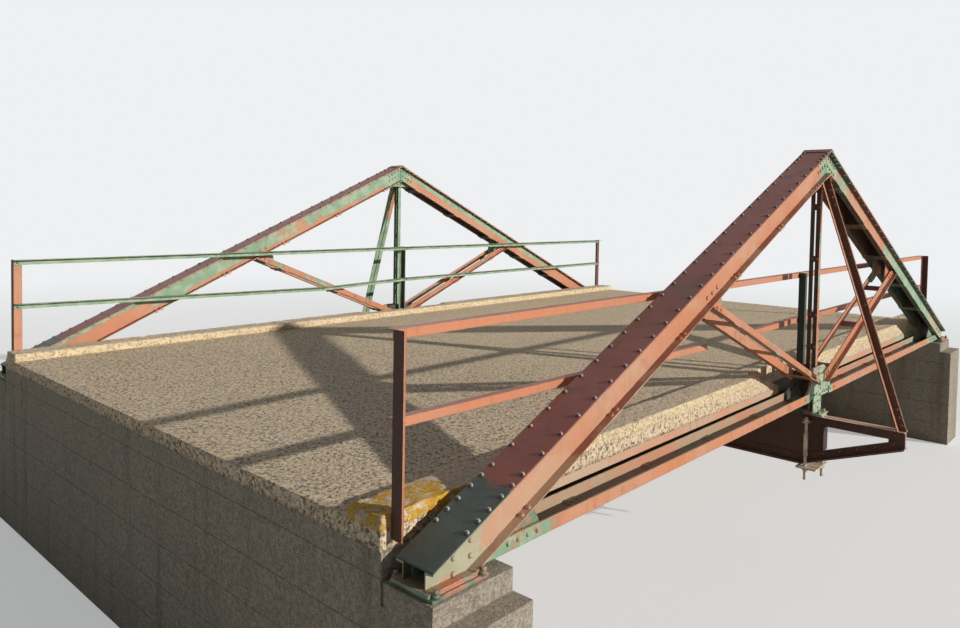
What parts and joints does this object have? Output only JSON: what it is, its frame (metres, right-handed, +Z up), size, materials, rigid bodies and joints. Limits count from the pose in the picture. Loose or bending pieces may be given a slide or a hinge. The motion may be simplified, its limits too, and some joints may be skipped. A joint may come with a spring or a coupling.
{
  "type": "kingpost pony truss road bridge",
  "caption": "Riveted steel kingpost pony truss road bridge with a curbed concrete deck, angle railings, an outrigger floor beam hung by rods, and plain concrete abutments.",
  "frame": {"origin": "mid span on the centreline of the road, at the foot of the abutments", "axes": "+X along the road, +Y across it from the near truss to the far truss, +Z up"},
  "size_m": [10.48, 7.8004, 3.8335],
  "materials": {
    "chords": "weathered salmon primer over old green paint",
    "covers": "dark plum brown rusted paint",
    "struts": "weathered salmon primer",
    "ties": "weathered salmon primer",
    "shoes": "worn green paint",
    "apex_gussets": "worn green paint",
    "strut_gussets": "worn green paint and primer",
    "kingposts": "weathered salmon primer",
    "centre_gussets": "worn green paint",
    "braces": "weathered salmon primer over green",
    "hangers": "dark rusted steel",
    "rail_posts": "weathered salmon primer",
    "rails": "weathered salmon primer over green",
    "floor_beam": "weathered primer with dirt",
    "stringers": "old dark green paint",
    "deck": "rough exposed aggregate concrete",
    "curbs": "rough weathered concrete",
    "abutments": "board marked weathered concrete"
  },
  "bodies": {
    "root": {"near_west_chord": "chords", "near_east_chord": "chords", "far_west_chord": "chords", "far_east_chord": "chords", "near_west_cover": "covers", "near_east_cover": "covers", "far_west_cover": "covers", "far_east_cover": "covers", "near_west_strut": "struts", "near_east_strut": "struts", "far_west_strut": "struts", "far_east_strut": "struts", "near_west_tie": "ties", "near_east_tie": "ties", "far_west_tie": "ties", "far_east_tie": "ties", "near_west_shoe": "shoes", "near_east_shoe": "shoes", "far_west_shoe": "shoes", "far_east_shoe": "shoes", "ridge_caps": "covers", "near_apex_gussets": "apex_gussets", "far_apex_gussets": "apex_gussets", "near_strut_gussets": "strut_gussets", "far_strut_gussets": "strut_gussets", "near_kingpost": "kingposts", "far_kingpost": "kingposts", "near_centre_gussets": "centre_gussets", "far_centre_gussets": "centre_gussets", "near_brace": "braces", "far_brace": "braces", "near_hanger": "hangers", "far_hanger": "hangers", "near_rail_posts": "rail_posts", "far_rail_posts": "rail_posts", "near_rails": "rails", "far_rails": "rails", "floor_beam": "floor_beam", "stringers": "stringers", "deck_slab": "deck", "near_curb": "curbs", "far_curb": "curbs", "west_abutment": "abutments", "east_abutment": "abutments"}
  },
  "joints": []
}
